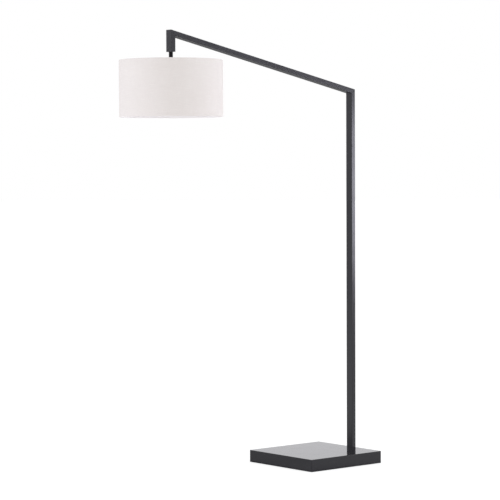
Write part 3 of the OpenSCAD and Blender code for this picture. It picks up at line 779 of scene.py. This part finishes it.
def add_holder():
    """Cap, ribbed shell and threaded screw shell of the lamp holder."""
    cap_low, cap_high = span("socket_cap")
    cap_r = half_width("socket_cap")
    cap_h = cap_high - cap_low
    wall = 1.2 * MM
    neck = 8 * MM
    bore = 5 * MM
    skirt = 7 * MM
    cap = rounded(
        [
            (bore, cap_h, 0.2 * MM),
            (neck, cap_h, 0.8 * MM),
            (neck, cap_h - 4 * MM, 1.5 * MM),
            (cap_r - 1 * MM, skirt + 1 * MM, 5 * MM),
            (cap_r - 1 * MM, skirt - 1.5 * MM, 0.3 * MM),
            (cap_r, skirt - 2.2 * MM, 0.3 * MM),
            (cap_r, 0, 0.4 * MM),
            (cap_r - wall, 0, 0.4 * MM),
            (cap_r - wall - 0.2 * MM, skirt, 3 * MM),
            (neck, cap_h - 9.2 * MM, 1 * MM),
            (bore, cap_h - 9.2 * MM, 0.2 * MM),
        ]
    )
    add_piece("holder_cap", turned(cap), "stand", "phenolic", ["socket_cap"], at_stem(cap_low))
    shell_low, shell_high = span("socket_shell")
    shell_h = shell_high - shell_low
    lip = 0.9 * MM
    r = half_width("socket_shell") - lip
    t = 0.6 * MM
    shell = rounded(
        [
            (r - t, 0, 0.2 * MM),
            (r + lip, 0, 0.3 * MM),
            (r + lip, 2 * MM, 0.8 * MM),
            (r, 2 * MM, 0.4 * MM),
            (r, 7 * MM, 0.3 * MM),
            (r - 0.35 * MM, 8 * MM, 0.5 * MM),
            (r, 9 * MM, 0.3 * MM),
            (r, shell_h, 0.2 * MM),
            (r - t, shell_h, 0.2 * MM),
            (r - t, 9 * MM, 0.3 * MM),
            (r - t - 0.15 * MM, 8 * MM, 0.5 * MM),
            (r - t, 7 * MM, 0.3 * MM),
        ]
    )

    flutes = 40
    flutes_low = 11 * MM
    flutes_high = shell_h - 19 * MM

    def fluted(angle, radius, height):
        if radius < r - t / 2 or not flutes_low < height < flutes_high:
            return radius
        return radius + 0.25 * MM * max(0, math.cos(flutes * angle)) ** 2

    body = turned(finer(shell, 1.0 * MM), steps=320, shape=fluted)
    shaft_low, shaft_high = span("switch_shaft")
    shaft_z = (shaft_low + shaft_high) / 2 - shell_low
    shaft_gap = 1 * MM
    hole_r = (shaft_high - shaft_low) / 2 + shaft_gap
    body = drilled(body, Vector((0, -r / 2, shaft_z)), Vector((0, -2 * r, shaft_z)), hole_r)
    add_piece("holder_shell", body, "stand", "phenolic", ["socket_shell"], at_stem(shell_low))
    low, high = span("socket_screw_shell")
    h = high - low
    inner = 13.05 * MM
    sheet = 0.4 * MM
    cup = [
        Vector((inner, 0)),
        Vector((inner + 0.9 * MM, 0)),
        Vector((inner + sheet, 0.8 * MM)),
        Vector((inner + sheet, h)),
        Vector((6 * MM, h)),
        Vector((6 * MM, h - sheet)),
        Vector((inner, h - sheet)),
        Vector((inner, 0.8 * MM)),
    ]
    threaded = turned(finer(cup, THREAD_STEP), shape=screw_shape(THREAD_DEPTH, 1 * MM, h - 1 * MM))
    add_piece("holder_screw_shell", threaded, "stand", "brass", ["socket_screw_shell"], at_stem(low))


def add_bulb():
    """Screw cap, contact, tapered housing and opal globe."""
    cap_low, cap_high = span("bulb_cap")
    h = cap_high - cap_low
    r = 12.6 * MM
    cap = rounded(
        [
            (0, 0, 0),
            (r - 0.6 * MM, 0, 0),
            (r, 1.0 * MM, 0.5 * MM),
            (r, h - 4 * MM, 0.5 * MM),
            (7.5 * MM, h, 0.8 * MM),
            (0, h, 0),
        ]
    )
    thread = screw_shape(THREAD_DEPTH, 1.4 * MM, h - 4.4 * MM)
    threaded = turned(finer(cap, THREAD_STEP), shape=thread)
    add_piece("bulb_screw_cap", threaded, "stand", "bulb_metal", ["bulb_cap"], at_stem(cap_low), sharp=60)
    body_low, body_high = span("bulb_body")
    dome_low, dome_high = span("bulb_dome")
    height = body_high - body_low
    wide = half_width("bulb_body")
    narrow = half_width("bulb_cap") + 0.5 * MM
    side = [(wide, 0.0), (wide - 0.9 * MM, 2.2 * MM)]
    for i in range(1, 9):
        t = i / 8
        bow = 2.0 * MM * math.sin(math.pi * t)
        across = wide - 0.9 * MM + (narrow - wide + 0.9 * MM) * t - bow
        side.append((across, 2.2 * MM + (height - 3 * MM) * t))
    outline = [Vector((wide - 2 * MM, 0))] + [Vector(p) for p in side] + [Vector((0, height - 0.8 * MM))]
    outline = outline + [Vector((0, height - 2.5 * MM)), Vector((wide - 2 * MM, 2.5 * MM))]
    housing = turned(outline)
    add_piece("bulb_housing", housing, "stand", "bulb_plastic", ["bulb_body"], at_stem(body_low), sharp=50)
    globe_r = half_width("bulb_dome")
    centre_z = dome_low + globe_r
    rim = dome_high - centre_z
    wall = 1.2 * MM
    start = math.asin(rim / globe_r)
    arc_steps = 40
    outside = []
    for i in range(arc_steps + 1):
        turn = start - (start + math.pi / 2) * i / arc_steps
        outside.append(Vector((globe_r * math.cos(turn), globe_r * math.sin(turn))))
    inside = []
    start = math.asin(rim / (globe_r - wall))
    for i in range(arc_steps + 1):
        turn = -math.pi / 2 + (start + math.pi / 2) * i / arc_steps
        inside.append(Vector(((globe_r - wall) * math.cos(turn), (globe_r - wall) * math.sin(turn))))
    globe = turned(outside + inside)
    add_piece("bulb_globe", globe, "stand", "bulb_opal", ["bulb_dome"], at_stem(centre_z))


def add_switch_knob():
    """A fluted knob with a domed end, on the shaft that leaves the holder towards -Y."""
    low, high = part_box("switch_knob")
    length = high.y - low.y
    r = half_width("switch_knob")
    shaft_r = half_width("switch_shaft")
    outline = rounded(
        [
            (shaft_r, 0, 0.2 * MM),
            (r * 0.9, 0, 0.4 * MM),
            (r * 0.9, 1.5 * MM, 0.3 * MM),
            (r, 2.2 * MM, 0.4 * MM),
            (r * 0.93, length - 1.2 * MM, 1.5 * MM),
            (r * 0.6, length, 1.2 * MM),
            (0, length, 0),
            (0, length - 4 * MM, 0),
            (shaft_r, length - 4 * MM, 0),
        ]
    )

    flutes = 20

    def fluted(angle, radius, height):
        if radius < r * 0.88:
            return radius
        fade = min(1, max(0, (height - 2.6 * MM) / MM), max(0, (length - 1.6 * MM - height) / MM))
        return radius - 0.35 * MM * (0.5 - 0.5 * math.cos(flutes * angle)) * fade

    place = Matrix.Translation((stem_x, high.y, (low.z + high.z) / 2)) @ Matrix.Rotation(math.pi / 2, 4, "X")
    knob = turned(finer(outline, 0.8 * MM), steps=240, shape=fluted)
    add_piece("knob", knob, "switch", "phenolic", ["switch_knob"], place)


# ---- Nuts, sleeve and gland ----

PIPE_R = 5 * MM
PIPE_NUT_FLATS = 14 * MM
GLAND_NUT_FLATS = 18 * MM * math.cos(math.pi / 6)


def hexagon(across_flats):
    """A shape for turned(): keeps every point inside a hexagon of this width."""

    def shape(angle, radius, height):
        turn = (angle + math.pi / 6) % (math.pi / 3) - math.pi / 6
        return min(radius, across_flats / 2 / math.cos(turn))

    return shape


def nut(bore, across_flats, height):
    """A hexagon nut with chamfered corners."""
    corner = across_flats / 2 / math.cos(math.pi / 6)
    bevel = 0.12 * height
    outline = [
        Vector((bore + 0.4 * MM, 0)),
        Vector((across_flats / 2 * 0.97, 0)),
        Vector((corner, bevel)),
        Vector((corner, height - bevel)),
        Vector((across_flats / 2 * 0.97, height)),
        Vector((bore + 0.4 * MM, height)),
        Vector((bore, height - 0.4 * MM)),
        Vector((bore, 0.4 * MM)),
    ]
    return turned(finer(outline, 0.6 * MM), steps=120, shape=hexagon(across_flats))


def add_stem_parts():
    """The sleeve, the round nut under the hub and the nut inside the drop."""
    length = sleeve_high.z - sleeve_low.z
    outer = (sleeve_high.x - sleeve_low.x) / 2
    bore = 5.2 * MM
    tube = rounded(
        [
            (bore, 0, 0.2 * MM),
            (outer, 0, 0.5 * MM),
            (outer, length, 0.5 * MM),
            (bore, length, 0.2 * MM),
        ]
    )
    add_piece("sleeve", turned(tube), "stand", "stem_paint", ["stem_sleeve"], at_stem(sleeve_low.z))
    low, high = span("hub_nut")
    height = high - low
    r = half_width("hub_nut")
    ring = rounded(
        [
            (PIPE_R, 0, 0.3 * MM),
            (r, 0, 0.6 * MM),
            (r, height, 0.6 * MM),
            (PIPE_R, height, 0.3 * MM),
        ]
    )

    knurls = 60

    def knurled(angle, radius, height_here):
        if radius < 0.9 * r or not 0.8 * MM < height_here < height - 0.8 * MM:
            return radius
        return radius - 0.3 * MM * abs(math.sin(knurls / 2 * angle))

    collar = turned(finer(ring, 0.5 * MM), steps=360, shape=knurled)
    add_piece("hub_collar_nut", collar, "stand", "zinc_steel", ["hub_nut"], at_stem(low))
    low, high = span("pipe_nut")
    hexagonal = nut(PIPE_R, PIPE_NUT_FLATS, high - low)
    add_piece("pipe_hex_nut", hexagonal, "stand", "zinc_steel", ["pipe_nut"], at_stem(low))


def add_gland():
    """The ribbed cord gland in the base's rear wall, and its lock nut."""
    low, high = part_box("cord_gland")
    middle = (low + high) / 2
    flange_r = (high.z - low.z) / 2
    length = high.x - low.x
    flange_t = 2.5 * MM
    barrel = 6 * MM
    bore = 3.1 * MM
    outline = rounded(
        [
            (bore, 0, 0.3 * MM),
            (barrel, 0, 0.4 * MM),
            (barrel, length - flange_t, 0),
            (flange_r, length - flange_t, 0),
            (flange_r, length - 1 * MM, 0.8 * MM),
            (barrel, length, 0.6 * MM),
            (bore, length, 0.8 * MM),
        ]
    )

    ribs = 24

    def ribbed(angle, radius, height):
        if radius < 0.93 * flange_r:
            return radius
        return radius - 0.35 * MM * (0.5 - 0.5 * math.cos(ribs * angle))

    place = Matrix.Translation((low.x, middle.y, middle.z)) @ Matrix.Rotation(math.pi / 2, 4, "Y")
    gland = turned(finer(outline, 1.0 * MM), steps=240, shape=ribbed)
    add_piece("cord_gland_ribbed", gland, "stand", "black_plastic", ["cord_gland"], place)
    low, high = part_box("gland_nut")
    middle = (low + high) / 2
    place = Matrix.Translation((low.x, middle.y, middle.z)) @ Matrix.Rotation(math.pi / 2, 4, "Y")
    lock = nut(barrel, GLAND_NUT_FLATS, high.x - low.x)
    add_piece("gland_hex_nut", lock, "stand", "black_plastic", ["gland_nut"], place)


# ---- The CAD nodes that stay ----

KEPT = {
    "frame_paint": ["post", "arm", "drop", "drop_plug"],
    "base_paint": ["base_cover"],
    "zinc_steel": [
        "base_standoffs", "base_plate", "base_plate_screws", "post_backing", "post_bolts", "post_washers",
        "post_insert", "post_elbow", "drop_elbow", "elbow_screws", "drop_plug_screws", "pipe_lock_washer",
        "threaded_pipe", "hub_washer",
    ],
    "brass": ["terminal_screws", "socket_contact", "socket_terminals", "bulb_contact", "switch_shaft"],
    "black_plastic": ["post_plug", "wire_grommet"],
    "phenolic": ["socket_body"],
    "connector_plastic": ["terminal_block"],
    "concrete": ["base_weight"],
    "pad_rubber": ["base_pad"],
    "card": ["socket_liner"],
    "lead_jacket": ["inner_lead"],
    "core_jacket": ["lead_cores"],
}
# In millimetres. The slots of the terminal screws are too fine for a rounded edge.
EDGE_WIDTH = 0.15
EDGE_WIDTHS = {
    "post": 0.25,
    "arm": 0.25,
    "drop": 0.25,
    "base_cover": 0.4,
    "base_weight": 3.0,
    "base_pad": 0.6,
    "terminal_screws": 0,
}


def keep_node(name, slot):
    """Gives a CAD node its material, and breaks its sharp edges unless their width is 0."""
    node = nodes[name]
    node.data.materials.clear()
    node.data.materials.append(MATERIALS[slot])
    weld = node.modifiers.new("weld", "WELD")
    weld.merge_threshold = 0.01 * MM
    width = EDGE_WIDTHS.get(name, EDGE_WIDTH) * MM
    if width > 0:
        bevel = node.modifiers.new("edges", "BEVEL")
        bevel.width = width
        bevel.segments = 2
        bevel.limit_method = "ANGLE"
        bevel.angle_limit = math.radians(40)
    node.modifiers.new("normals", "WEIGHTED_NORMAL")


# ---- The scene ----

add_camera()
add_stage()
MATERIALS = {
    "frame_paint": make_paint("bronze_satin", (0.0120, 0.0115, 0.0150), 0.24, 0.02 * MM, 0.004 * MM),
    "stem_paint": make_paint("matt_black", (0.0040, 0.0038, 0.0042), 0.42, 0.01 * MM, 0.004 * MM, ior=1.22),
    "base_paint": make_paint("bronze_gloss", (0.0055, 0.0050, 0.0080), 0.09, 0.006 * MM, 0.001 * MM),
    "zinc_steel": make_metal("zinc_plate", (0.58, 0.58, 0.61), 0.34),
    "brass": make_metal("plain_brass", (0.72, 0.52, 0.22), 0.28),
    "black_plastic": make_plastic("black_nylon", (0.020, 0.020, 0.021), 0.45, 0.03 * MM),
    "phenolic": make_plastic("black_phenolic", (0.018, 0.015, 0.014), 0.22, 0.008 * MM),
    "connector_plastic": make_plastic("natural_nylon", (0.72, 0.70, 0.64), 0.35, 0.02 * MM, 0.3),
    "concrete": make_concrete(),
    "pad_rubber": make_foam(),
    "card": make_card(),
    "lead_jacket": make_plastic("lead_jacket", (0.66, 0.64, 0.60), 0.50, 0.03 * MM),
    "core_jacket": make_plastic("core_jacket", (0.20, 0.10, 0.06), 0.35, 0.01 * MM),
    "bulb_metal": make_metal("bulb_aluminium", (0.68, 0.68, 0.69), 0.26),
    "bulb_plastic": make_plastic("bulb_housing", (0.74, 0.74, 0.73), 0.32, 0.01 * MM),
    "bulb_opal": make_opal(),
    "shade_fabric": make_fabric(),
    "shade_liner": make_liner(),
    "ring_wire": make_powder_coat("white_powder_coat", (0.72, 0.71, 0.70)),
}
for slot_name, names in KEPT.items():
    for node_name in names:
        keep_node(node_name, slot_name)
add_shade_fitter()
add_shade_liner()
add_shade_skin()
add_holder()
add_bulb()
add_switch_knob()
add_stem_parts()
add_gland()
